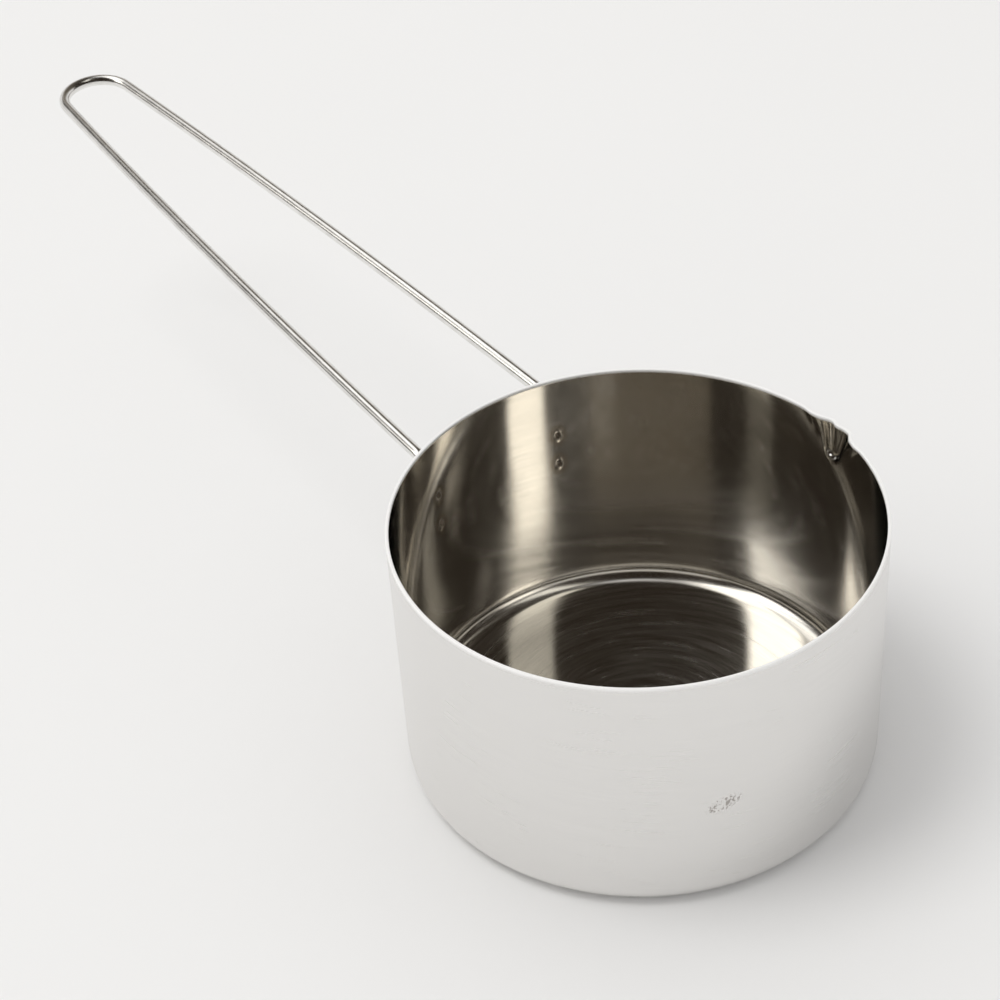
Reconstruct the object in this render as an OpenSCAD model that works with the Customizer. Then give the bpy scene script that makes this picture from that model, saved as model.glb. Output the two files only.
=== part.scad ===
// Candle melting pot: a round cup drawn from sheet steel, with a pour lip pinched
// into its rim, and a long loop handle bent from round wire and spot-welded to the wall.
// Origin: centre of the base's underside. +Z is up and the handle points along -X.
// All sizes are in millimetres and all angles in degrees.

/* [Cup] */
// Outer diameter of the cup
cup_d = 110; // [90:1:140]
// Height of the cup, from the base to the rim
cup_h = 65; // [55:1:90]
// Thickness of the sheet that the cup is drawn from
sheet_t = 0.8; // [0.6:0.1:1.2]
// Inside radius of the corner between the floor and the wall
corner_r = 4.2; // [1:0.1:8]

/* [Pour lip] */
// Angle from the handle round to the lip, clockwise from above
lip_turn = 96; // [60:1:150]
// How far the lip stands out from the wall at the rim
lip_out = 1.6; // [0.8:0.1:3]
// Depth of the lip's groove below the rim
lip_depth = 10; // [6:0.5:16]
// Radius of the groove where it dies into the wall
lip_tip_r = 1.2; // [0.9:0.1:2]
// Lean of the groove's axis, which sets how wide the lip opens at the rim
lip_lean = 25; // [15:1:35]

/* [Handle] */
// Diameter of the handle's wire
wire_d = 3; // [2:0.1:4]
// Distance between the two legs where they meet the cup, centre to centre
leg_span = 37; // [28:1:50]
// Diameter of the end loop, on the wire's centreline
loop_d = 19.2; // [14:0.2:28]
// Length of the handle from its bend to the tip of the loop, on the centreline
handle_len = 195; // [120:1:240]
// Rise of the handle above level
handle_slope = 4.2; // [0:0.1:20]
// How far each leg bows outward at mid length
leg_bow = 1.2; // [0.4:0.1:3]
// Radius of the bend that turns each leg down along the wall, on the centreline
bend_r = 5; // [4:0.5:10]
// Height at which the legs leave the wall
bend_h = 57.5; // [45:0.5:65]
// Height of the cut lower ends of the legs
foot_h = 35.5; // [15:0.5:38]

/* [Welds] */
// Depth of the upper spot welds below the rim
weld_upper_depth = 16.6; // [14:0.1:20]
// Depth of the lower spot welds below the rim
weld_lower_depth = 25; // [21:0.1:27]
// Height of each spot weld
weld_h = 3.6; // [2:0.1:5]
// Radius of each spot weld, round the line where the wire meets the wall
weld_r = 1.4; // [1:0.1:2]

/* [Hidden] */

STEEL = [0.80, 0.79, 0.77];
BRIGHT_WIRE = [0.90, 0.90, 0.89];
WELD_METAL = [0.58, 0.54, 0.48];

ROUND_FN = 128;
WIRE_FN = 48;
// Steps in a full turn where a small piece follows the cup's wall
WALL_FN = 720;
// Sides of the wire, and rings along each stretch of one leg
WIRE_SIDES = 20;
BEND_STEPS = 9;
LEG_STEPS = 14;
LOOP_STEPS = 12;

UP = [0, 0, 1];
// Sides as seen by someone who holds the handle with the cup in front
LEFT = 1;
RIGHT = -1;

cup_r = cup_d / 2;
wire_r = wire_d / 2;
half_span = leg_span / 2;
// The wire stands this far off the wall between its welds
weld_gap = 0.1;
// Distance from the cup's axis to each leg's centreline, along the handle
leg_x = sqrt(pow(cup_r + wire_r + weld_gap, 2) - pow(half_span, 2));

// The lip's groove is a cone whose axis leans inward as it rises.
lip_axis_len = lip_depth * cos(lip_lean) - lip_out * sin(lip_lean);
lip_growth = (lip_out * cos(lip_lean) + lip_depth * sin(lip_lean)) / lip_axis_len;
// The cone runs on past the rim, where it is cut off level
lip_over = 4;

// The handle lies in one sloping plane, x out along the slope and y to the left. Each leg
// is one shallow arc in it, from heading leg_a0 towards the middle where it leaves the cup
// to heading leg_a1 where the end loop begins. leg_swing is half of that change.
loop_r = loop_d / 2;
loop_x = handle_len - loop_r;
leg_swing = 2 * atan(2 * leg_bow / loop_x);
PLANE_UP = [sin(handle_slope), 0, cos(handle_slope)];

function plane_point(p) = [
    -leg_x - p[0] * cos(handle_slope), p[1], bend_h + p[0] * sin(handle_slope)
];
function plane_heading(a) = [
    -cos(a) * cos(handle_slope), -sin(a), cos(a) * sin(handle_slope)
];
// Length of wire between the bend's corner and the end of the bend
function reach_at(a) = bend_r * tan((90 - asin(plane_heading(a)[2])) / 2);
function leg_start(a) = [reach_at(a) * cos(a), half_span - reach_at(a) * sin(a)];
function loop_point(a) = [loop_x + loop_r * sin(a), loop_r * cos(a)];
function leg_chord(mean) = loop_point(mean + leg_swing) - leg_start(mean - leg_swing);
function heading_of(v) = atan2(-v[1], v[0]);
// The chord's heading depends on its own ends, so it is found by repeating
function settle(mean, rounds) =
    rounds == 0 ? mean : settle(heading_of(leg_chord(mean)), rounds - 1);

leg_mean = settle(0, 12);
leg_a0 = leg_mean - leg_swing;
leg_a1 = leg_mean + leg_swing;
bow_r = norm(leg_chord(leg_mean)) / (2 * sin(leg_swing));
bend_reach = reach_at(leg_a0);
bend_angle = 90 - asin(plane_heading(leg_a0)[2]);
bend_foot = [-leg_x, half_span, bend_h - bend_reach];

function unit(v) = v / norm(v);
bend_out = unit([plane_heading(leg_a0)[0], plane_heading(leg_a0)[1], 0]);
bend_side = cross(UP, bend_out);

// Each station of the wire is its centre, its direction and a direction square to that
function bend_station(b) = [
    bend_foot + bend_r * ((1 - cos(b)) * bend_out + sin(b) * UP),
    cos(b) * UP + sin(b) * bend_out,
    bend_side
];
function plane_station(p, a) = [
    plane_point(p), plane_heading(a), cross(PLANE_UP, plane_heading(a))
];
function leg_station(a) = plane_station(
    leg_start(leg_a0) + bow_r * [sin(a) - sin(leg_a0), cos(a) - cos(leg_a0)], a
);

left_stations = concat(
    [[[-leg_x, half_span, foot_h], UP, bend_side]],
    [for (i = [0 : BEND_STEPS]) bend_station(bend_angle * i / BEND_STEPS)],
    [for (i = [1 : LEG_STEPS]) leg_station(leg_a0 + 2 * leg_swing * i / LEG_STEPS)],
    [for (i = [1 : LOOP_STEPS])
        let (a = leg_a1 + (90 - leg_a1) * i / LOOP_STEPS)
        plane_station(loop_point(a), a)]
);

function ring(station) = [
    for (i = [0 : WIRE_SIDES - 1])
        let (turn = 360 * i / WIRE_SIDES, side = station[2], over = cross(station[1], side))
        station[0] + wire_r * (cos(turn) * side + sin(turn) * over)
];
function mirrored(points) = [for (p = points) [p[0], -p[1], p[2]]];

// Solid of revolution with a rounded lower edge
module slug(r, h, edge_r) {
    rotate_extrude($fn = ROUND_FN) {
        square([r - edge_r, edge_r]);
        translate([0, edge_r]) square([r, h - edge_r]);
        intersection() {
            translate([r - edge_r, edge_r]) circle(r = edge_r, $fn = WIRE_FN);
            translate([r - edge_r, 0]) square([edge_r, edge_r]);
        }
    }
}

// The cone of the pour lip, made smaller by inset all round for its inner face
module lip_cone(inset) {
    start = -(lip_tip_r - inset) / lip_growth;
    reach = lip_axis_len + lip_over - start;
    rotate([0, 0, 180 - lip_turn])
        translate([cup_r, 0, cup_h - lip_depth])
        rotate([0, -lip_lean, 0])
        translate([-lip_tip_r, 0, start])
        cylinder(r1 = 0, r2 = reach * lip_growth, h = reach, $fn = ROUND_FN);
}

module pot_cup() {
    color(STEEL) difference() {
        union() {
            slug(cup_r, cup_h, corner_r + sheet_t);
            lip_cone(0);
        }
        translate([0, 0, sheet_t]) slug(cup_r - sheet_t, 2 * cup_h, corner_r);
        lip_cone(sheet_t);
        translate([0, 0, cup_h]) cylinder(r = 2 * cup_r, h = cup_h, $fn = ROUND_FN);
    }
}

// The wire from the left foot round the end loop to the right foot
module wire_handle() {
    left = [for (station = left_stations) ring(station)];
    tip = len(left) - 1;
    right = [for (i = [tip - 1 : -1 : 0]) mirrored(left[i])];
    rings = concat(left, right);
    last = (len(rings) - 1) * WIRE_SIDES;
    points = [for (r = rings) for (p = r) p];
    skin = [
        for (j = [0 : len(rings) - 2]) for (i = [0 : WIRE_SIDES - 1])
            let (a = j * WIRE_SIDES + i, b = j * WIRE_SIDES + (i + 1) % WIRE_SIDES)
            [a, a + WIRE_SIDES, b + WIRE_SIDES, b]
    ];
    ends = [
        [for (i = [0 : WIRE_SIDES - 1]) i],
        [for (i = [WIRE_SIDES - 1 : -1 : 0]) last + i]
    ];
    color(BRIGHT_WIRE) polyhedron(points = points, faces = concat(skin, ends));
}

// Metal fused between the wire and the wall, outside both
module spot_weld(side, depth) {
    seat = side * asin(half_span / (cup_r + wire_r + weld_gap));
    color(WELD_METAL) rotate([0, 0, 180 - seat]) difference() {
        translate([cup_r, 0, cup_h - depth - weld_h / 2])
            cylinder(r = weld_r, h = weld_h, $fn = WIRE_FN);
        cylinder(r = cup_r, h = cup_h, $fn = WALL_FN);
        translate([cup_r + wire_r + weld_gap, 0, 0])
            cylinder(r = wire_r, h = cup_h, $fn = WIRE_FN);
    }
}

module weld_left_upper() { spot_weld(LEFT, weld_upper_depth); }
module weld_left_lower() { spot_weld(LEFT, weld_lower_depth); }
module weld_right_upper() { spot_weld(RIGHT, weld_upper_depth); }
module weld_right_lower() { spot_weld(RIGHT, weld_lower_depth); }

pot_cup();
wire_handle();
weld_left_upper();
weld_left_lower();
weld_right_upper();
weld_right_lower();
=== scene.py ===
"""The finished look of a candle melting pot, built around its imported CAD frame.

The pot is one drawn steel cup with a pinched pour lip, one bent wire handle and four spot
welds. Sizes are in metres in the CAD frame: the origin is the centre of the base, +Z is up
and the handle points along -X.
"""

import logging
import math
from dataclasses import dataclass
from enum import Enum
from typing import Any, Dict, List, Optional, Sequence, Tuple, Union

import bpy
from mathutils import Matrix, Vector

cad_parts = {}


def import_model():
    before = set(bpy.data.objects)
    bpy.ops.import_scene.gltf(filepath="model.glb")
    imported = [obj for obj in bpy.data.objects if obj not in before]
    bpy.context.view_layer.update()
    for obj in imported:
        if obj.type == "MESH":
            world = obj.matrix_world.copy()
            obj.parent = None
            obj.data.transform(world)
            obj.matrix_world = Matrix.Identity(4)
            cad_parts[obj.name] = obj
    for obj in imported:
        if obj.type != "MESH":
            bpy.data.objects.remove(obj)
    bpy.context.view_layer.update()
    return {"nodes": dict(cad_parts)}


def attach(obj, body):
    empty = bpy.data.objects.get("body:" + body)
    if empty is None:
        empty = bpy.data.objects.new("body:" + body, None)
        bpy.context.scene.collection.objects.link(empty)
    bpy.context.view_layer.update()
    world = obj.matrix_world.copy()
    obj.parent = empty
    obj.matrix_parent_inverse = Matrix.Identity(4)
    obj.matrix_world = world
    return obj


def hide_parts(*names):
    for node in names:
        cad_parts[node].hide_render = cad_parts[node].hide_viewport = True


MM = 0.001
BODY = "root"

Colour = Tuple[float, float, float]
Number = Union[float, int, "Value"]

log = logging.getLogger("melting_pot")


# ---------------------------------------------------------------- node trees


class Value:
    """A number that flows through a node tree, used in plain Python expressions."""

    def __init__(self, tree: "Tree", socket: bpy.types.NodeSocket) -> None:
        """Wraps one output socket of a tree."""
        self.tree = tree
        self.socket = socket

    def math(self, operation: str, *others: Number) -> "Value":
        """Adds one Math node with this value as its first input.

        Args:
            operation: The Math node's operation.
            others: The second and third inputs, as numbers or values.

        Returns:
            The node's result.
        """
        return self.tree.math(operation, self, *others)

    def __add__(self, other: Number) -> "Value":
        """This value plus another."""
        return self.math("ADD", other)

    __radd__ = __add__

    def __sub__(self, other: Number) -> "Value":
        """This value less another."""
        return self.math("SUBTRACT", other)

    def __rsub__(self, other: Number) -> "Value":
        """Another value less this one."""
        return self.tree.math("SUBTRACT", other, self)

    def __mul__(self, other: Number) -> "Value":
        """This value times another."""
        return self.math("MULTIPLY", other)

    __rmul__ = __mul__

    def __truediv__(self, other: Number) -> "Value":
        """This value over another."""
        return self.math("DIVIDE", other)

    def __neg__(self) -> "Value":
        """This value with its sign changed."""
        return self.math("MULTIPLY", -1.0)

    def __pow__(self, power: Number) -> "Value":
        """This value to a power."""
        return self.math("POWER", power)

    def __abs__(self) -> "Value":
        """This value without its sign."""
        return self.math("ABSOLUTE")

    def step_up(self, low: Number, high: Number) -> "Value":
        """A soft step from 0 at low to 1 at high.

        Args:
            low: Where the step starts.
            high: Where the step ends.

        Returns:
            The step, level at both ends.
        """
        node = self.tree.add(
            "ShaderNodeMapRange",
            {"interpolation_type": "SMOOTHSTEP"},
            {"Value": self, "From Min": low, "From Max": high},
        )
        return Value(self.tree, node.outputs["Result"])

    def bell(self, centre: Number, width: Number) -> "Value":
        """A smooth hump of height 1.

        Args:
            centre: Where the hump is highest.
            width: How far from there it has fallen to about a third.

        Returns:
            The hump's height.
        """
        ratio = (self - centre) / width
        return (-(ratio * ratio)).math("EXPONENT")

    def wrap_turn(self) -> "Value":
        """This angle in radians, brought between half a turn each way."""
        return self.math("WRAP", math.pi, -math.pi)


class Tree:
    """Adds nodes to a shader, world or geometry tree."""

    def __init__(self, node_tree: bpy.types.NodeTree) -> None:
        """Works on a tree that already exists."""
        self.node_tree = node_tree

    def add(
        self,
        kind: str,
        settings: Optional[Dict[str, Any]] = None,
        inputs: Optional[Dict[Union[str, int], Any]] = None,
    ) -> bpy.types.Node:
        """Adds one node, sets it up and feeds its sockets.

        Args:
            kind: The node's type, such as ShaderNodeTexNoise.
            settings: The node's own properties, set first.
            inputs: Values or links for the sockets, by name or number.

        Returns:
            The new node.
        """
        node = self.node_tree.nodes.new(kind)
        for name, value in (settings or {}).items():
            setattr(node, name, value)
        for key, value in (inputs or {}).items():
            self.feed(node.inputs[key], value)
        return node

    def feed(self, socket: bpy.types.NodeSocket, value: Any) -> None:
        """Links a value or an output to a socket, or sets the socket's own value."""
        if isinstance(value, Value):
            self.node_tree.links.new(value.socket, socket)
        elif isinstance(value, bpy.types.NodeSocket):
            self.node_tree.links.new(value, socket)
        elif isinstance(value, tuple) and len(value) == 3 and len(socket.default_value) == 4:
            socket.default_value = (*value, 1.0)
        else:
            socket.default_value = value

    def math(self, operation: str, *terms: Number) -> Value:
        """Adds one Math node.

        Args:
            operation: The node's operation.
            terms: Its inputs in order, as numbers or values.

        Returns:
            The node's result.
        """
        node = self.add("ShaderNodeMath", {"operation": operation}, dict(enumerate(terms)))
        return Value(self, node.outputs[0])

    def split(self, vector: bpy.types.NodeSocket) -> Tuple[Value, Value, Value]:
        """The three parts of a vector, as values."""
        node = self.add("ShaderNodeSeparateXYZ", None, {0: vector})
        return tuple(Value(self, out) for out in node.outputs)

    def join(self, x: Number, y: Number, z: Number) -> bpy.types.NodeSocket:
        """A vector made of three numbers or values."""
        return self.add("ShaderNodeCombineXYZ", None, {0: x, 1: y, 2: z}).outputs[0]

    def noise(self, vector: bpy.types.NodeSocket, scale: float, detail: float = 2.0) -> Value:
        """Smooth random values from about 0 to 1.

        Args:
            vector: Where the noise is read.
            scale: How fine the noise is.
            detail: How many finer layers are added.

        Returns:
            The noise.
        """
        node = self.add(
            "ShaderNodeTexNoise", None, {"Vector": vector, "Scale": scale, "Detail": detail}
        )
        return Value(self, node.outputs[0])

    def vector(self, operation: str, first: Any, second: Any) -> bpy.types.NodeSocket:
        """Adds one Vector Math node.

        Args:
            operation: The node's operation.
            first: The first vector.
            second: The second vector, or the factor if the operation is SCALE.

        Returns:
            The node's vector.
        """
        key = "Scale" if operation == "SCALE" else 1
        settings = {"operation": operation}
        return self.add("ShaderNodeVectorMath", settings, {0: first, key: second}).outputs[0]

    def mix(self, factor: Number, first: Any, second: Any) -> bpy.types.NodeSocket:
        """A colour between two colours.

        Args:
            factor: 0 for the first colour and 1 for the second.
            first: A colour or a colour socket.
            second: A colour or a colour socket.

        Returns:
            The mixed colour.
        """
        node = self.add("ShaderNodeMix", {"data_type": "RGBA"})
        self.feed(node.inputs[0], factor)
        self.feed(node.inputs[6], first)
        self.feed(node.inputs[7], second)
        return node.outputs[2]


class Surface(Tree):
    """The tree of one material with a single principled shader."""

    def __init__(self, name: str) -> None:
        """Makes a material of that name with an empty tree."""
        self.material = bpy.data.materials.new(name)
        self.material.use_nodes = True
        super().__init__(self.material.node_tree)
        self.node_tree.nodes.clear()
        self.shader = self.add("ShaderNodeBsdfPrincipled")
        self.add("ShaderNodeOutputMaterial", None, {"Surface": self.shader.outputs[0]})

    def place(self) -> bpy.types.NodeSocket:
        """Object coordinates, which are the CAD frame's own metres."""
        return self.add("ShaderNodeTexCoord").outputs["Object"]

    def stored(self, name: str) -> bpy.types.Node:
        """A node that reads an attribute which the mesh carries."""
        return self.add("ShaderNodeAttribute", {"attribute_name": name})

    def finish(self, **sockets: Any) -> bpy.types.Material:
        """Feeds the shader.

        Args:
            sockets: Values or links by socket name, with _ for a space.

        Returns:
            The finished material.
        """
        for name, value in sockets.items():
            self.feed(self.shader.inputs[name.replace("_", " ")], value)
        return self.material

    def bump(self, height: Value, depth: float, strength: float = 1.0) -> bpy.types.NodeSocket:
        """A normal from a height.

        Args:
            height: The height, from 0 to 1.
            depth: What a height of 1 stands for, in metres.
            strength: How much of the bump is used.

        Returns:
            The normal.
        """
        inputs = {"Height": height, "Distance": depth, "Strength": strength}
        return self.add("ShaderNodeBump", None, inputs).outputs[0]


class Shaper(Tree):
    """A Geometry Nodes tree with named inputs, which turns curves into one finished mesh."""

    def __init__(self, name: str, inputs: Dict[str, str]) -> None:
        """Makes the tree and its inputs.

        Args:
            name: The tree's name.
            inputs: Each input's name and its socket type.
        """
        super().__init__(bpy.data.node_groups.new(name, "GeometryNodeTree"))
        face = self.node_tree.interface
        face.new_socket("Mesh", in_out="OUTPUT", socket_type="NodeSocketGeometry")
        self.identifiers = {
            label: face.new_socket(label, in_out="INPUT", socket_type=kind).identifier
            for label, kind in inputs.items()
        }
        self.entry = self.add("NodeGroupInput")
        self.exit = self.add("NodeGroupOutput")

    def given(self, label: str) -> bpy.types.NodeSocket:
        """The socket of one named input."""
        return self.entry.outputs[label]

    def number(self, label: str) -> Value:
        """One named input, as a value."""
        return Value(self, self.given(label))

    def curve(self, label: str) -> bpy.types.NodeSocket:
        """The curve of one named object input."""
        return self.add("GeometryNodeObjectInfo", None, {0: self.given(label)}).outputs["Geometry"]

    def place(self) -> bpy.types.NodeSocket:
        """Where each point is."""
        return self.add("GeometryNodeInputPosition").outputs[0]

    def store(
        self, geometry: bpy.types.NodeSocket, name: str, kind: str, value: Any
    ) -> bpy.types.NodeSocket:
        """Stores a value on every point.

        Args:
            geometry: The geometry to store it on.
            name: The attribute's name.
            kind: The attribute's data type.
            value: The value or link to store.

        Returns:
            The geometry with the attribute.
        """
        settings = {"data_type": kind, "domain": "POINT"}
        inputs = {"Geometry": geometry, "Name": name, "Value": value}
        return self.add("GeometryNodeStoreNamedAttribute", settings, inputs).outputs[0]

    def stored(self, name: str, kind: str) -> bpy.types.NodeSocket:
        """The values of a stored attribute."""
        node = self.add("GeometryNodeInputNamedAttribute", {"data_type": kind}, {"Name": name})
        return node.outputs["Attribute"]

    def circle(self, sides: str, radius: str) -> bpy.types.NodeSocket:
        """A circle whose number of sides and radius are named inputs."""
        inputs = {"Resolution": self.given(sides), "Radius": self.given(radius)}
        return self.add("GeometryNodeCurvePrimitiveCircle", {"mode": "RADIUS"}, inputs).outputs[0]

    def move(
        self, geometry: bpy.types.NodeSocket, position: bpy.types.NodeSocket
    ) -> bpy.types.NodeSocket:
        """Puts each point at a new place."""
        inputs = {"Geometry": geometry, "Position": position}
        return self.add("GeometryNodeSetPosition", None, inputs).outputs[0]

    def close(self, geometry: bpy.types.NodeSocket) -> None:
        """Ends the tree: smooth faces, real instances and the material.

        Args:
            geometry: The geometry to finish.
        """
        smooth = self.add("GeometryNodeSetShadeSmooth", None, {0: geometry}).outputs[0]
        real = self.add("GeometryNodeRealizeInstances", None, {0: smooth}).outputs[0]
        steel = self.add(
            "GeometryNodeSetMaterial", None, {"Geometry": real, "Material": self.given("Finish")}
        )
        self.feed(self.exit.inputs[0], steel.outputs[0])

    def make(self, name: str, values: Dict[str, Any]) -> bpy.types.Object:
        """Runs the tree once and keeps its result as a plain mesh.

        Args:
            name: The new piece's name.
            values: A value for each named input.

        Returns:
            The piece, at the origin, with no modifier.
        """
        carrier = bpy.data.objects.new(name + "_carrier", bpy.data.meshes.new(name + "_carrier"))
        bpy.context.scene.collection.objects.link(carrier)
        modifier = carrier.modifiers.new("shape", "NODES")
        modifier.node_group = self.node_tree
        for label, value in values.items():
            modifier[self.identifiers[label]] = value
        bpy.context.view_layer.update()
        shaped = carrier.evaluated_get(bpy.context.evaluated_depsgraph_get())
        mesh = bpy.data.meshes.new_from_object(shaped)
        mesh.name = name
        mesh.materials.clear()
        mesh.materials.append(values["Finish"])
        bpy.data.objects.remove(carrier)
        piece = bpy.data.objects.new(name, mesh)
        bpy.context.scene.collection.objects.link(piece)
        return piece


def line_through(
    name: str, points: Sequence[Vector], radii: Optional[Sequence[float]] = None
) -> bpy.types.Object:
    """A curve of straight steps through points, used only to feed a tree.

    Args:
        name: The curve's name.
        points: The points in order, in metres.
        radii: A size for each point, or None for 1 at all.

    Returns:
        The curve object.
    """
    curve = bpy.data.curves.new(name, "CURVE")
    curve.dimensions = "3D"
    spline = curve.splines.new("POLY")
    spline.points.add(len(points) - 1)
    for index, (knot, point) in enumerate(zip(spline.points, points)):
        knot.co = (*point, 1.0)
        knot.radius = radii[index] if radii else 1.0
    guide = bpy.data.objects.new(name, curve)
    bpy.context.scene.collection.objects.link(guide)
    return guide


# ---------------------------------------------------------------- measures of the pot


@dataclass(frozen=True)
class PotSizes:
    """The pot's driving sizes, in metres and radians, as the CAD model has them."""

    cup_r: float = 55 * MM
    cup_h: float = 65 * MM
    sheet: float = 0.8 * MM
    corner_r: float = 5 * MM
    lip_turn: float = math.radians(180 - 96)
    lip_out: float = 1.6 * MM
    lip_depth: float = 10 * MM
    wire_r: float = 1.5 * MM
    half_span: float = 18.5 * MM
    loop_r: float = 9.6 * MM
    handle_len: float = 195 * MM
    handle_slope: float = math.radians(4.2)
    leg_bow: float = 1.2 * MM
    bend_r: float = 5 * MM
    bend_h: float = 57.5 * MM
    foot_h: float = 35.5 * MM
    weld_gap: float = 0.1 * MM
    weld_depths: Tuple[float, float] = (16.6 * MM, 25 * MM)

    @property
    def leg_x(self) -> float:
        """How far in front of the cup's axis the legs stand."""
        reach = self.cup_r + self.wire_r + self.weld_gap
        return math.sqrt(reach**2 - self.half_span**2)

    def weld_turns(self) -> Tuple[float, float]:
        """Directions of the left and the right leg from the cup's axis."""
        seat = math.atan2(self.half_span, self.leg_x)
        return math.pi - seat, math.pi + seat


SIZES = PotSizes()


# ---------------------------------------------------------------- finishes


@dataclass(frozen=True)
class DrawnSteel:
    """Stainless sheet: satin outside, polished and finely brushed round the inside, with a painted
    highlight on the cut rim.
    """

    outside: Colour = (0.815, 0.805, 0.79)
    # Inside colour: the steel's own colour, made warmer and a little darker as a painted warm shade
    # for the light that bounces round inside the cup.
    inside: Colour = (0.80, 0.778, 0.735)
    # Near-white colour of the cut rim: a painted highlight standing in for the bright line the rim
    # catches from the overhead light.
    cut_and_highlight: Colour = (0.96, 0.955, 0.945)
    rough_cut: float = 0.6
    # How far the cut rim is made non-metal, so its painted highlight shows as diffuse white.
    cut_highlight_diffuse: float = 0.85
    tint: Colour = (0.66, 0.52, 0.34)
    burnt: Colour = (0.13, 0.09, 0.06)
    wear: float = 0.30
    rough_out: float = 0.26
    rough_in: float = 0.095
    brush_rough: float = 0.08
    floor_rough: float = 0.12
    floor_bands: float = 0.3
    floor_relief: float = 1.8
    floor_edge: Tuple[float, float] = (1.5 * MM, 4 * MM)
    cloud_scale: float = 40.0
    cloud_rough: float = 0.04
    stretch: float = 0.35
    line_width: float = 0.30 * MM
    line_depth: float = 0.0032 * MM
    line_slant: Tuple[float, float] = (0.03, 0.07)
    line_turns: float = 4.5
    band_turns: float = 2.0
    band_width: float = 4.0
    tint_ring: Tuple[float, float] = (1.9 * MM, 0.6 * MM)
    tint_share: float = 0.35
    burn_ring: Tuple[float, float] = (0.8 * MM, 0.55 * MM)
    burn_share: float = 0.85
    burn_rough: float = 0.3
    grain_scale: float = 1500.0
    scuff_turn: float = math.radians(-21)
    scuff_size: Tuple[float, float] = (4.0 * MM, 2.0 * MM)
    scuff_height: float = 29 * MM
    scuff_tilt: float = 0.6
    scuff_share: float = 0.5
    scuff_rough: float = 0.15

    def material(self, sizes: PotSizes) -> bpy.types.Material:
        """Builds the material.

        Args:
            sizes: The pot's sizes, which place the heat tint round the welds.

        Returns:
            The cup's material.
        """
        steel = Surface("drawn_steel")
        place = steel.place()
        x, y, z = steel.split(place)
        radius = (x * x + y * y).math("SQRT")
        inner = Value(steel, steel.stored("inner_face").outputs["Fac"])
        # Mask of the cut rim, which gets a painted highlight and a higher roughness.
        cut_and_highlight = Value(steel, steel.stored("cut_edge").outputs["Fac"])
        floor = inner * (1 - z.step_up(*self.floor_edge))
        run = z - radius + x * self.line_slant[0] + y * self.line_slant[1]
        fine, broad = self.line_turns, self.band_turns
        width = self.band_width * self.line_width
        fine_place = steel.join(x / radius * fine, y / radius * fine, run / self.line_width)
        broad_place = steel.join(x / radius * broad, y / radius * broad, run / width)
        lines = steel.noise(fine_place, 1.0, 3.0)
        bands = steel.noise(broad_place, 1.0, 2.0)
        cloud = steel.noise(place, self.cloud_scale, 2.0)
        rough = inner * (self.rough_in - self.rough_out) + self.rough_out
        rough = rough + (lines * 0.6 + bands * 0.4 - 0.5) * self.brush_rough
        rough = rough + (cloud - 0.5) * self.cloud_rough
        rough = rough + floor * (self.floor_rough + (bands - 0.5) * self.floor_bands)
        rough = rough + cut_and_highlight * (self.rough_cut - rough)
        ring, burn = self._heat(sizes, (x, y, z))
        burn = burn * inner * steel.noise(place, self.grain_scale, 2.0).step_up(0.28, 0.52)
        scuff = self._scuffs(steel, (x, y, z)) * (1 - inner)
        clean = steel.mix(inner, self.outside, self.inside)
        worn_tone = 0.5 - lines * 0.5 - bands * 0.3 - cloud * 0.2
        worn_tone = worn_tone * (inner * 0.7 + 0.3) * self.wear + 1
        # Outside and inside colours; the inside one carries a painted warm shade.
        worn = steel.vector("SCALE", clean, worn_tone)
        sheet = steel.mix(ring * inner * self.tint_share, worn, self.tint)
        sheet = steel.mix(burn * self.burn_share + scuff * self.scuff_share, sheet, self.burnt)
        relief = lines * 0.7 + bands * (floor * self.floor_relief + 0.5)
        return steel.finish(
            # The cut rim is painted near white and made partly non-metal: a painted highlight.
            Base_Color=steel.mix(cut_and_highlight, sheet, self.cut_and_highlight),
            Metallic=1 - cut_and_highlight * self.cut_highlight_diffuse,
            Roughness=rough + burn * self.burn_rough + scuff * self.scuff_rough,
            Anisotropic=self.stretch,
            Anisotropic_Rotation=0.25,
            Normal=steel.bump(relief, self.line_depth),
        )

    def _scuffs(self, steel: Surface, at: Tuple[Value, Value, Value]) -> Value:
        """A small patch of fine specks rubbed into the outside of the wall.

        Args:
            steel: The material's tree.
            at: The point's x, y and z.

        Returns:
            1 in a speck and 0 elsewhere.
        """
        x, y, z = at
        cos, sin = math.cos(self.scuff_turn), math.sin(self.scuff_turn)
        across = (y * cos - x * sin) / self.scuff_size[0]
        high = (z - self.scuff_height) / self.scuff_size[1] - across * self.scuff_tilt
        front = (x * cos + y * sin).step_up(0.0, 1 * MM)
        patch = (1 - (across * across + high * high).step_up(0.5, 1.3)) * front
        specks = steel.noise(steel.place(), self.grain_scale, 1.0)
        return specks.step_up(0.50, 0.62) * patch

    def _heat(self, sizes: PotSizes, at: Tuple[Value, Value, Value]) -> Tuple[Value, Value]:
        """How much each point was heated by the nearest weld.

        Args:
            sizes: The pot's sizes.
            at: The point's x, y and z.

        Returns:
            The ring where the steel turned straw, and the spot in it that was burnt.
        """
        x, y, z = at
        ring: Optional[Value] = None
        burn: Optional[Value] = None
        for turn in sizes.weld_turns():
            for depth in sizes.weld_depths:
                dx = x - sizes.cup_r * math.cos(turn)
                dy = y - sizes.cup_r * math.sin(turn)
                dz = z - (sizes.cup_h - depth)
                far = (dx * dx + dy * dy + dz * dz * 0.5).math("SQRT")
                straw, spot = far.bell(*self.tint_ring), far.bell(*self.burn_ring)
                ring = straw if ring is None else ring.math("MAXIMUM", straw)
                burn = spot if burn is None else burn.math("MAXIMUM", spot)
        return ring, burn


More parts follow.
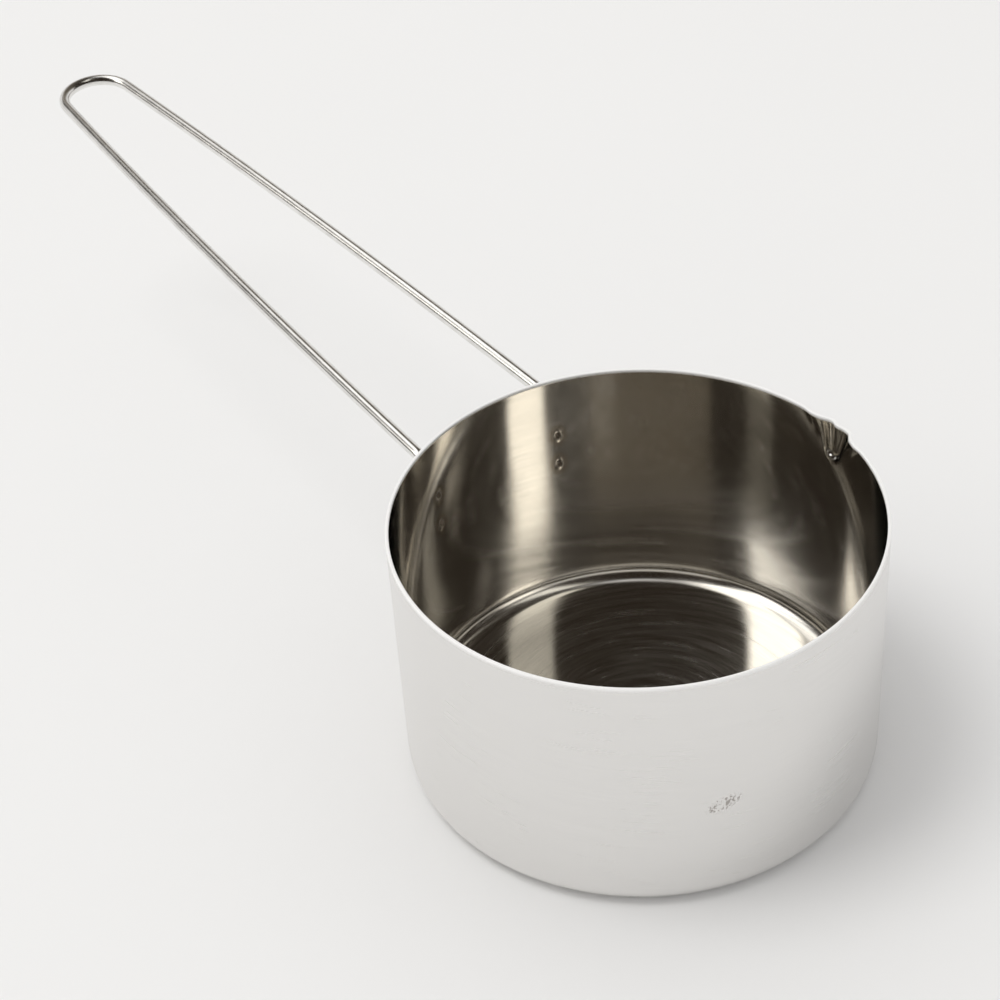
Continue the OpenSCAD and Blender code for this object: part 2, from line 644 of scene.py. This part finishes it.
@dataclass(frozen=True)
class BrightWire:
    """Polished stainless wire with faint lines drawn along it."""

    colour: Colour = (0.86, 0.85, 0.83)
    shade: Colour = (0.74, 0.73, 0.71)
    rough: float = 0.22
    rough_range: float = 0.10
    mark_rough: float = 0.06
    line_scales: Tuple[float, float] = (5.0, 60.0)
    mark_scales: Tuple[float, float] = (1.5, 240.0)
    line_depth: float = 0.006 * MM

    def material(self) -> bpy.types.Material:
        """Builds the material.

        Returns:
            The wire's material.
        """
        wire = Surface("bright_wire")
        cos, sin, run = wire.split(wire.stored("wire_around").outputs["Vector"])
        across, along = self.line_scales
        lines = wire.noise(wire.join(cos * across, sin * across, run * along), 1.0, 3.0)
        across, along = self.mark_scales
        marks = wire.noise(wire.join(cos * across, sin * across, run * along), 1.0, 2.0)
        rough = (lines - 0.5) * self.rough_range + (marks - 0.5) * self.mark_rough + self.rough
        return wire.finish(
            Base_Color=wire.mix(marks.step_up(0.3, 0.65), self.shade, self.colour),
            Metallic=1.0,
            Roughness=rough,
            Normal=wire.bump(lines * 0.7 + marks * 0.3, self.line_depth),
        )


@dataclass(frozen=True)
class WeldMetal:
    """Fused steel, dull and lumpy, with burnt patches."""

    colour: Colour = (0.55, 0.51, 0.46)
    burnt: Colour = (0.20, 0.15, 0.11)
    rough: float = 0.42
    rough_range: float = 0.3
    grain_scale: float = 1800.0
    patch_scale: float = 500.0
    grain_depth: float = 0.05 * MM
    grain_strength: float = 0.8

    def material(self) -> bpy.types.Material:
        """Builds the material.

        Returns:
            The welds' material.
        """
        weld = Surface("weld_metal")
        grain = weld.noise(weld.place(), self.grain_scale, 3.0)
        patch = weld.noise(weld.place(), self.patch_scale, 2.0)
        return weld.finish(
            Base_Color=weld.mix(patch.step_up(0.42, 0.66), self.colour, self.burnt),
            Metallic=1.0,
            Roughness=(grain - 0.5) * self.rough_range + self.rough,
            Normal=weld.bump(grain, self.grain_depth, self.grain_strength),
        )


@dataclass(frozen=True)
class StudioPaper:
    """The pale matt sheet that the pot stands on."""

    colour: Colour = (0.87, 0.868, 0.864)
    rough: float = 0.75
    dim_share: float = 0.985
    mottle_scale: float = 9.0

    def material(self) -> bpy.types.Material:
        """Builds the material.

        Returns:
            The floor's material.
        """
        paper = Surface("studio_paper")
        mottle = paper.noise(paper.place(), self.mottle_scale, 2.0)
        dim = tuple(part * self.dim_share for part in self.colour)
        return paper.finish(
            Base_Color=paper.mix(mottle, dim, self.colour),
            Roughness=self.rough,
            Specular_IOR_Level=0.1,
        )


# ---------------------------------------------------------------- the cup


@dataclass
class DrawnCup:
    """The one-piece cup, spun from its section and then pinched at the pour lip."""

    sizes: PotSizes
    finish: DrawnSteel
    segments: int = 720
    rim_edge: float = 0.32 * MM
    lip_half_width: float = math.radians(6.3)
    lip_tip_width: float = math.radians(2.3)
    lip_tip_share: float = 0.55
    lip_round: float = 2.4 * MM
    lip_slant: float = math.radians(0.9)
    ridge_share: float = 0.42
    ridge_shift: float = 0.12
    tuck: float = 0.35 * MM
    pit_depth: float = 0.26 * MM
    pit_width: float = 0.55 * MM
    pit_shape: Tuple[float, float] = (0.6, 1.2)
    pit_wave: Tuple[float, float] = (2.6 / MM, 0.22 * MM)
    crown: Tuple[float, float] = (1.1 * MM, 0.4 * MM)
    crown_share: float = 0.12
    pip_place: Tuple[float, float] = (0.2 * MM, 1.0 * MM)
    pip_width: float = 0.35 * MM
    pip_share: float = 0.6
    lip_fade: Tuple[float, float] = (0.42, 1.0)
    lip_droop: float = 0.2
    ridge_width: float = 0.26
    ridge_fall: float = 0.8
    tuck_side: Tuple[float, float] = (1.35, 0.3)
    tuck_depth: float = 6 * MM
    lip_reach: float = math.radians(13)
    weld_reach: float = math.radians(5)
    gather_share: float = 0.72
    lip_band: float = 13 * MM
    weld_band: float = 29 * MM
    cut_band: Tuple[float, float] = (0.6 * MM, 1.1 * MM)
    face_blend: float = 0.1 * MM
    join_reach: float = 1e-6

    def section(self) -> Tuple[List[Vector], float]:
        """The half section of the sheet, from under the middle round to the floor's middle.

        Returns:
            The points, x out from the wall's radius and y down, and the length to the rim.
        """
        s = self.sizes
        inner_r = s.corner_r - s.sheet
        wall_in = s.cup_r - s.sheet
        edge = self.rim_edge
        flat = [s.cup_r * share for share in (0.0, 0.1, 0.3, 0.5, 0.7, 0.85)]
        dots = [(r, 0.0) for r in flat]
        dots += self._arc(s.cup_r - s.corner_r, s.corner_r, s.corner_r, -90, 0, 9)
        lip_z, weld_z = s.cup_h - self.lip_band, s.cup_h - self.weld_band
        dots += [(s.cup_r, z) for z in self._levels(s.corner_r, lip_z, 5)]
        dots += [(s.cup_r, z) for z in self._levels(lip_z, s.cup_h - edge, 19)]
        dots += self._arc(s.cup_r - edge, s.cup_h - edge, edge, 0, 90, 4)
        rim = len(dots)
        dots += self._arc(wall_in + edge, s.cup_h - edge, edge, 90, 180, 4)
        dots += [(wall_in, z) for z in self._levels(s.cup_h - edge, lip_z, 19)]
        dots += [(wall_in, z) for z in self._levels(lip_z, weld_z, 38)]
        dots += [(wall_in, z) for z in self._levels(weld_z, s.corner_r, 3)]
        dots += self._arc(wall_in - inner_r, s.sheet + inner_r, inner_r, 0, -90, 9)
        dots += [(r, s.sheet) for r in reversed(flat)]
        points = [Vector((r - s.cup_r, -z, 0.0)) for r, z in dots]
        kept = [points[0]]
        for point in points[1:]:
            if (point - kept[-1]).length > self.join_reach:
                kept.append(point)
        rim_run = sum((b - a).length for a, b in zip(points[:rim], points[1:rim]))
        return kept, rim_run

    @staticmethod
    def _arc(
        x: float, y: float, r: float, start: float, end: float, steps: int
    ) -> List[Tuple[float, float]]:
        """Points of an arc, both ends included.

        Args:
            x: The centre's first coordinate.
            y: The centre's second coordinate.
            r: The radius.
            start: The first angle, in degrees.
            end: The last angle, in degrees.
            steps: How many steps the arc takes.

        Returns:
            The points in order.
        """
        angles = [math.radians(start + (end - start) * i / steps) for i in range(steps + 1)]
        return [(x + r * math.cos(a), y + r * math.sin(a)) for a in angles]

    @staticmethod
    def _levels(start: float, end: float, steps: int) -> List[float]:
        """Even steps from one height to another, without the first."""
        return [start + (end - start) * i / steps for i in range(1, steps + 1)]

    def build(self) -> bpy.types.Object:
        """Spins the section round the axis, pinches the lip and dents the weld marks.

        Returns:
            The cup.
        """
        points, rim_run = self.section()
        guide = line_through("cup_section", points)
        shaper = self._shaper()
        cup = shaper.make("drawn_cup", {
            "Section": guide,
            "Wall Radius": self.sizes.cup_r,
            "Segments": self.segments,
            "Rim Run": rim_run,
            "Rim Height": self.sizes.cup_h,
            "Lip Turn": self.sizes.lip_turn,
            "Lip Out": self.sizes.lip_out,
            "Lip Depth": self.sizes.lip_depth,
            "Finish": self.finish.material(self.sizes),
        })
        bpy.data.objects.remove(guide)
        return cup

    def _shaper(self) -> Shaper:
        """Sets up the steps from the cup's section to the cup.

        Returns:
            The tree.
        """
        measures = ("Wall Radius", "Rim Run", "Rim Height", "Lip Turn", "Lip Out", "Lip Depth")
        tree = Shaper("spin_and_pinch_cup", {
            "Section": "NodeSocketObject",
            "Segments": "NodeSocketInt",
            **dict.fromkeys(measures, "NodeSocketFloat"),
            "Finish": "NodeSocketMaterial",
        })
        length = Value(tree, tree.add("GeometryNodeSplineParameter").outputs["Length"])
        rim = tree.number("Rim Run")
        inner = length.step_up(rim - self.face_blend, rim + self.face_blend)
        section = tree.store(tree.curve("Section"), "inner_face", "FLOAT", inner)
        # The cut rim band, which takes a painted highlight and a higher roughness.
        cut_and_highlight = 1 - abs(length - rim).step_up(*self.cut_band)
        section = tree.store(section, "cut_edge", "FLOAT", cut_and_highlight)
        ring = tree.circle("Segments", "Wall Radius")
        upright = tree.add("GeometryNodeSetCurveNormal", {"mode": "Z_UP"}, {0: ring})
        spun = tree.add(
            "GeometryNodeCurveToMesh", None,
            {"Curve": upright.outputs[0], "Profile Curve": section},
        )
        closed = tree.add(
            "GeometryNodeMergeByDistance", None,
            {"Geometry": spun.outputs[0], "Distance": self.join_reach},
        )
        turned = tree.add("GeometryNodeFlipFaces", None, {0: closed.outputs[0]})
        tree.close(self._pinch(tree, turned.outputs[0]))
        return tree

    def _pinch(self, tree: Shaper, geometry: bpy.types.NodeSocket) -> bpy.types.NodeSocket:
        """Moves the points of the spun cup into the lip and the weld marks.

        Args:
            tree: The cup's tree.
            geometry: The spun cup.

        Returns:
            The shaped cup.
        """
        x, y, z = tree.split(tree.place())
        radius = (x * x + y * y).math("SQRT")
        turn = self._gather(y.math("ARCTAN2", x))
        depth = tree.number("Rim Height") - z
        lip_depth = tree.number("Lip Depth")
        share = (depth / lip_depth).math("MINIMUM", 1.0)
        half = share * (self.lip_tip_width - self.lip_half_width) + self.lip_half_width
        side = (turn - tree.number("Lip Turn") - share * self.lip_slant).wrap_turn() / half
        end = (depth - lip_depth + self.lip_round).math("MAXIMUM", 0.0) / self.lip_round
        wide = 1 - (side * side + end * end).math("SQRT").step_up(*self.lip_fade)
        ridge = side.bell(self.ridge_shift, self.ridge_width) * self.ridge_share
        ridge = 1 - ridge * (1 - share * self.ridge_fall)
        fall = 1 - share * (1 - self.lip_tip_share)
        push = wide * ridge * fall * tree.number("Lip Out")
        tuck = abs(side).bell(*self.tuck_side) * (1 - depth.step_up(0.0, self.tuck_depth)) * self.tuck
        inner = Value(tree, tree.stored("inner_face", "FLOAT"))
        new_radius = radius + push - tuck + self._weld_marks(turn, depth) * inner
        cos, sin = turn.math("COSINE"), turn.math("SINE")
        place = tree.join(new_radius * cos, new_radius * sin, z - push * self.lip_droop)
        return tree.move(geometry, place)

    def _gather(self, turn: Value) -> Value:
        """Draws the cup's lengthwise lines together near the lip and the welds.

        Args:
            turn: The angle of each point round the axis.

        Returns:
            The new angle.
        """
        places = [(self.sizes.lip_turn, self.lip_reach)]
        places += [(weld, self.weld_reach) for weld in self.sizes.weld_turns()]
        moved = turn
        for centre, reach in places:
            off = (turn - centre).wrap_turn()
            moved = moved - off * off.bell(0.0, reach) * self.gather_share
        return moved

    def _weld_marks(self, turn: Value, depth: Value) -> Value:
        """The pits that the welding tips left inside, behind each weld.

        Args:
            turn: The angle of each point round the axis.
            depth: How far each point is below the rim.

        Returns:
            How far each point moves outward.
        """
        marks: Optional[Value] = None
        wide, high = self.pit_shape
        rate, swing = self.pit_wave
        pip_x, pip_y = self.pip_place
        for weld in self.sizes.weld_turns():
            across = (turn - weld).wrap_turn() * self.sizes.cup_r
            for at in self.sizes.weld_depths:
                down = depth - at
                bent = across + (down * rate).math("SINE") * swing
                far = ((bent / wide) ** 2 + (down / high) ** 2).math("SQRT")
                pit = far.bell(0.0, self.pit_width) - far.bell(*self.crown) * self.crown_share
                off = ((across - pip_x) ** 2 + (down - pip_y) ** 2).math("SQRT")
                pip = off.bell(0.0, self.pip_width)
                mark = (pit - pip * self.pip_share) * self.pit_depth
                marks = mark if marks is None else marks + mark
        return marks


# ---------------------------------------------------------------- the handle


@dataclass
class WireHandle:
    """The loop handle, swept along one bent line from foot to foot."""

    sizes: PotSizes
    finish: BrightWire
    sides: int = 40
    cut_edge: float = 0.3 * MM
    foot_steps: int = 40
    bend_steps: int = 18
    leg_steps: int = 60
    loop_steps: int = 32
    aim_rounds: int = 12
    press_start: float = 0.62
    press_share: float = 0.85
    press_band: Tuple[float, float] = (1.2 * MM, 2.2 * MM)
    press_reach: Tuple[float, float] = (1.6 * MM, 2.2 * MM)

    def route(self) -> Tuple[List[Vector], List[float]]:
        """The wire's centreline and the size of the wire along it.

        Returns:
            The points from the left foot to the right foot, and a share of the wire's radius
            for each.
        """
        left = self._half_route()
        points = left + [Vector((p.x, -p.y, p.z)) for p in reversed(left[:-1])]
        chamfer = 1 - self.cut_edge / self.sizes.wire_r
        radii = [1.0] * len(points)
        radii[0] = radii[-1] = chamfer
        return points, radii

    def _half_route(self) -> List[Vector]:
        """Follows the left half of the centreline.

        Returns:
            The points from the foot to the tip of the loop.
        """
        s = self.sizes
        loop_x = s.handle_len - s.loop_r
        swing = 2 * math.atan(2 * s.leg_bow / loop_x)
        mean = 0.0
        for _ in range(self.aim_rounds):
            start = self._leg_start(mean - swing)
            tip = mean + swing
            end = Vector((loop_x + s.loop_r * math.sin(tip), s.loop_r * math.cos(tip)))
            mean = math.atan2(start.y - end.y, end.x - start.x)
        first, last = mean - swing, mean + swing
        start = self._leg_start(first)
        bow_r = (end - start).length / (2 * math.sin(swing))
        heading = self._heading(first)
        out = Vector((heading.x, heading.y, 0.0)).normalized()
        up = Vector((0, 0, 1))
        reach = self._reach(first)
        turn = math.pi / 2 - math.asin(heading.z)
        foot = Vector((-s.leg_x, s.half_span, s.bend_h - reach))
        line = [Vector((foot.x, foot.y, s.foot_h))]
        line += [Vector((foot.x, foot.y, s.foot_h + self.cut_edge))]
        rise = foot.z - s.foot_h - self.cut_edge
        steps = self.foot_steps
        line += [Vector((foot.x, foot.y, foot.z - rise * (1 - i / steps))) for i in range(1, steps)]
        for i in range(self.bend_steps + 1):
            a = turn * i / self.bend_steps
            line.append(foot + s.bend_r * ((1 - math.cos(a)) * out + math.sin(a) * up))
        for i in range(1, self.leg_steps + 1):
            a = first + 2 * swing * i / self.leg_steps
            arc = Vector((math.sin(a) - math.sin(first), math.cos(a) - math.cos(first)))
            line.append(self._in_plane(start + bow_r * arc))
        for i in range(1, self.loop_steps + 1):
            a = last + (math.pi / 2 - last) * i / self.loop_steps
            flat = Vector((loop_x + s.loop_r * math.sin(a), s.loop_r * math.cos(a)))
            line.append(self._in_plane(flat))
        return line

    def _heading(self, a: float) -> Vector:
        """Direction of a leg in space, from its heading in the handle's plane."""
        slope = self.sizes.handle_slope
        return Vector((-math.cos(a) * math.cos(slope), -math.sin(a), math.cos(a) * math.sin(slope)))

    def _reach(self, a: float) -> float:
        """Length of wire from the corner of the bend to its end."""
        return self.sizes.bend_r * math.tan((math.pi / 2 - math.asin(self._heading(a).z)) / 2)

    def _leg_start(self, a: float) -> Vector:
        """Where the left leg starts in the handle's plane."""
        reach = self._reach(a)
        return Vector((reach * math.cos(a), self.sizes.half_span - reach * math.sin(a)))

    def _in_plane(self, flat: Vector) -> Vector:
        """Brings a point of the handle's plane into space.

        Args:
            flat: The point: how far out, and how far to the left.

        Returns:
            The point in the CAD frame.
        """
        s = self.sizes
        out, up = flat.x * math.cos(s.handle_slope), flat.x * math.sin(s.handle_slope)
        return Vector((-s.leg_x - out, flat.y, s.bend_h + up))

    def build(self) -> bpy.types.Object:
        """Sweeps the wire along its centreline and presses the weld spots into it.

        Returns:
            The handle.
        """
        points, radii = self.route()
        guide = line_through("handle_route", points, radii)
        handle = self._shaper().make("bent_wire_handle", {
            "Route": guide,
            "Wire Radius": self.sizes.wire_r,
            "Sides": self.sides,
            "Finish": self.finish.material(),
        })
        bpy.data.objects.remove(guide)
        return handle

    def _shaper(self) -> Shaper:
        """Sets up the steps from the wire's line to the handle.

        Returns:
            The tree.
        """
        tree = Shaper("sweep_wire", {
            "Route": "NodeSocketObject",
            "Wire Radius": "NodeSocketFloat",
            "Sides": "NodeSocketInt",
            "Finish": "NodeSocketMaterial",
        })
        run = tree.add("GeometryNodeSplineParameter").outputs["Length"]
        route = tree.store(tree.curve("Route"), "run", "FLOAT", run)
        wire_r = tree.number("Wire Radius")
        cos, sin, _ = tree.split(tree.place())
        around = tree.join(cos / wire_r, sin / wire_r, 0.0)
        section = tree.store(tree.circle("Sides", "Wire Radius"), "around", "FLOAT_VECTOR", around)
        swept = tree.add("GeometryNodeCurveToMesh", None, {
            "Curve": route, "Profile Curve": section, "Fill Caps": True,
        })
        cos, sin, _ = tree.split(tree.stored("around", "FLOAT_VECTOR"))
        label = tree.join(cos, sin, Value(tree, tree.stored("run", "FLOAT")))
        labelled = tree.store(swept.outputs[0], "wire_around", "FLOAT_VECTOR", label)
        tree.close(self._press(tree, labelled))
        return tree

    def _press(self, tree: Shaper, geometry: bpy.types.NodeSocket) -> bpy.types.NodeSocket:
        """Flattens the outer side of each foot where the welding tips pressed.

        Args:
            tree: The handle's tree.
            geometry: The swept wire.

        Returns:
            The wire with its pressed spots.
        """
        s = self.sizes
        x, y, z = tree.split(tree.place())
        radius = (x * x + y * y).math("SQRT")
        line = s.cup_r + s.weld_gap + s.wire_r
        proud = (radius - (line + s.wire_r * self.press_start)).math("MAXIMUM", 0.0)
        spots: Optional[Value] = None
        for depth in s.weld_depths:
            near = 1 - abs(z - (s.cup_h - depth)).step_up(*self.press_band)
            spots = near if spots is None else spots + near
        near_foot = 1 - radius.step_up(*(line + reach for reach in self.press_reach))
        sink = proud * spots * near_foot * self.press_share
        share = (radius - sink) / radius
        return tree.move(geometry, tree.join(x * share, y * share, z))


# ---------------------------------------------------------------- the welds


@dataclass
class SpotWelds:
    """The four lumps of fused metal in the corner between the wire and the wall."""

    sizes: PotSizes
    finish: WeldMetal
    half_width: float = 1.75 * MM
    half_height: float = 1.9 * MM
    thickness: float = 0.55 * MM
    lump_scale: float = 650.0
    lump_height: float = 0.5 * MM
    seed: float = 3.7

    def build(self) -> bpy.types.Object:
        """Sets one lump at each weld.

        Returns:
            The four lumps as one piece.
        """
        s = self.sizes
        spots = [
            Vector((s.cup_r * math.cos(turn), s.cup_r * math.sin(turn), s.cup_h - depth))
            for turn in s.weld_turns()
            for depth in s.weld_depths
        ]
        guide = line_through("weld_spots", spots)
        welds = self._shaper().make("spot_welds", {
            "Spots": guide,
            "Half Width": self.half_width,
            "Half Height": self.half_height,
            "Thickness": self.thickness,
            "Seed": self.seed,
            "Finish": self.finish.material(),
        })
        bpy.data.objects.remove(guide)
        return welds

    def _shaper(self) -> Shaper:
        """Sets up the steps from the weld spots to the lumps.

        Returns:
            The tree.
        """
        measures = ("Half Width", "Half Height", "Thickness", "Seed")
        tree = Shaper("set_weld_lumps", {
            "Spots": "NodeSocketObject",
            **dict.fromkeys(measures, "NodeSocketFloat"),
            "Finish": "NodeSocketMaterial",
        })
        ball = tree.add("GeometryNodeMeshIcoSphere", None, {"Radius": 1.0, "Subdivisions": 5})
        size = tree.join(tree.given("Thickness"), tree.given("Half Width"), tree.given("Half Height"))
        lump = tree.add("GeometryNodeTransform", None, {"Geometry": ball.outputs[0], "Scale": size})
        sx, sy, _ = tree.split(tree.place())
        facing = tree.join(0.0, 0.0, sy.math("ARCTAN2", sx))
        knots = tree.add("GeometryNodeCurveToPoints", {"mode": "EVALUATED"}, {0: tree.curve("Spots")})
        turned = tree.add(
            "GeometryNodeInstanceOnPoints", None,
            {"Points": knots.outputs[0], "Instance": lump.outputs[0], "Rotation": facing},
        )
        real = tree.add("GeometryNodeRealizeInstances", None, {0: turned.outputs[0]})
        normal = tree.add("GeometryNodeInputNormal").outputs[0]
        shifted = tree.vector("ADD", tree.place(), tree.join(tree.given("Seed"), 0.0, 0.0))
        rough = (tree.noise(shifted, self.lump_scale, 3.0) - 0.5) * self.lump_height
        rest = tree.vector("ADD", tree.place(), tree.vector("SCALE", normal, rough))
        tree.close(tree.move(real.outputs[0], rest))
        return tree


# ---------------------------------------------------------------- studio


class Light(Enum):
    """The area lights: place, aim, size across and power."""

    KEY = ((-0.55, -0.81, 2.41), (0.0, 0.0, 0.0), 1.2, 15.0)


@dataclass(frozen=True)
class Panel:
    """A soft bright or dark patch of the studio, as the steel sees it."""

    turn: float
    rise: float
    half_width: float
    half_height: float
    edge: float
    colour: Colour


@dataclass
class Studio:
    """The floor, the lights, the surroundings that the steel mirrors, and the camera."""

    paper: StudioPaper
    floor_size: float = 6.0
    backdrop: Colour = (0.87, 0.868, 0.862)
    room: Colour = (0.026, 0.020, 0.015)
    dome: Colour = (0.75, 0.745, 0.74)
    panels: Tuple[Panel, ...] = (
        Panel(140, 90, 180, 9, 5, (0.60, 0.59, 0.58)),
        Panel(140, 38, 50, 20, 16, (0.085, 0.072, 0.056)),
        Panel(125, 28, 55, 10, 2, (0.19, 0.165, 0.13)),
        Panel(145, 8, 75, 18, 6, (0.80, 0.79, 0.78)),
        Panel(190, 62, 32, 16, 4, (1.50, 1.48, 1.45)),
        Panel(20, 58, 13, 15, 2, (1.10, 1.06, 0.96)),
        Panel(-116, 48, 18.5, 30, 3, (2.10, 2.05, 1.95)),
    )
    camera_aim: Tuple[float, float, float] = (-46.57 * MM, -3.68 * MM, 42.7 * MM)
    camera_turn: float = -34.44
    camera_rise: float = 38.77
    camera_roll: float = -4.20
    camera_far: float = 0.5325
    lens: float = 80.95

    def build(self) -> None:
        """Sets the whole studio up."""
        self._floor()
        self._lights()
        self._surroundings()
        self._camera()
        view = bpy.context.scene.view_settings
        view.view_transform = "Standard"
        view.look = "None"

    def _floor(self) -> None:
        """Lays the pale floor."""
        half = self.floor_size / 2
        mesh = bpy.data.meshes.new("studio_floor")
        square = [(-half, -half, 0), (half, -half, 0), (half, half, 0), (-half, half, 0)]
        mesh.from_pydata(square, [], [(0, 1, 2, 3)])
        mesh.materials.append(self.paper.material())
        floor = bpy.data.objects.new("studio_floor", mesh)
        bpy.context.scene.collection.objects.link(floor)

    def _lights(self) -> None:
        """Hangs the area lights."""
        for light in Light:
            place, aim, across, power = light.value
            data = bpy.data.lights.new(light.name.lower(), "AREA")
            data.shape = "DISK"
            data.size = across
            data.energy = power
            lamp = bpy.data.objects.new(light.name.lower(), data)
            away = Vector(place) - Vector(aim)
            facing = away.to_track_quat("Z", "Y").to_matrix().to_4x4()
            lamp.matrix_world = Matrix.Translation(place) @ facing
            lamp.visible_glossy = False
            bpy.context.scene.collection.objects.link(lamp)

    def _surroundings(self) -> None:
        """Gives the world its dim room, its bright panels and a pale backdrop."""
        world = bpy.data.worlds.new("studio")
        bpy.context.scene.world = world
        world.use_nodes = True
        tree = Tree(world.node_tree)
        tree.node_tree.nodes.clear()
        x, y, z = tree.split(tree.add("ShaderNodeTexCoord").outputs["Generated"])
        turn = y.math("ARCTAN2", x)
        rise = z.math("ARCSINE")
        lit: Any = self.room
        for panel in self.panels:
            off = abs((turn - math.radians(panel.turn)).wrap_turn())
            high = abs(rise - math.radians(panel.rise))
            edge = math.radians(panel.edge)
            wide, tall = math.radians(panel.half_width), math.radians(panel.half_height)
            beside = off.step_up(wide - edge, wide + edge)
            beyond = high.step_up(tall - edge, tall + edge)
            lit = tree.mix((1 - beside) * (1 - beyond), lit, panel.colour)
        path = tree.add("ShaderNodeLightPath").outputs
        sky = tree.add("ShaderNodeBackground", None, {"Color": lit}).outputs[0]
        for ray, colour in (("Is Diffuse Ray", self.dome), ("Is Camera Ray", self.backdrop)):
            plain = tree.add("ShaderNodeBackground", None, {"Color": colour}).outputs[0]
            sky = tree.add("ShaderNodeMixShader", None, {0: path[ray], 1: sky, 2: plain}).outputs[0]
        tree.add("ShaderNodeOutputWorld", None, {0: sky})

    def _camera(self) -> None:
        """Places the camera."""
        turn, rise = math.radians(self.camera_turn), math.radians(self.camera_rise)
        level = math.cos(rise)
        away = Vector((math.cos(turn) * level, math.sin(turn) * level, math.sin(rise)))
        data = bpy.data.cameras.new("camera")
        data.lens = self.lens
        data.sensor_width = 36.0
        data.clip_start = 0.01
        camera = bpy.data.objects.new("camera", data)
        facing = away.to_track_quat("Z", "Y").to_matrix().to_4x4()
        roll = Matrix.Rotation(math.radians(self.camera_roll), 4, "Z")
        aim = Vector(self.camera_aim)
        camera.matrix_world = Matrix.Translation(aim + away * self.camera_far) @ facing @ roll
        bpy.context.scene.collection.objects.link(camera)
        bpy.context.scene.camera = camera


# ---------------------------------------------------------------- putting it together


def settle(piece: bpy.types.Object, slot: str, *nodes: str) -> None:
    """Fixes a finished piece to the pot in place of its plain CAD nodes.

    Args:
        piece: The finished piece.
        slot: Not used.
        nodes: The CAD nodes that it stands for.
    """
    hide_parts(*nodes)
    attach(piece, BODY)
    log.info("%s: %d faces, for %s", piece.name, len(piece.data.polygons), ", ".join(nodes))


def main() -> None:
    """Builds the pot's pieces and its studio."""
    logging.basicConfig(level=logging.INFO, format="%(name)s: %(message)s")
    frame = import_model()
    Studio(StudioPaper()).build()
    settle(DrawnCup(SIZES, DrawnSteel()).build(), "drawn_steel", "pot_cup")
    settle(WireHandle(SIZES, BrightWire()).build(), "bright_wire", "wire_handle")
    welds = [name for name in sorted(frame["nodes"]) if name.startswith("weld_")]
    settle(SpotWelds(SIZES, WeldMetal()).build(), "weld_metal", *welds)


if __name__ == "__main__":
    main()
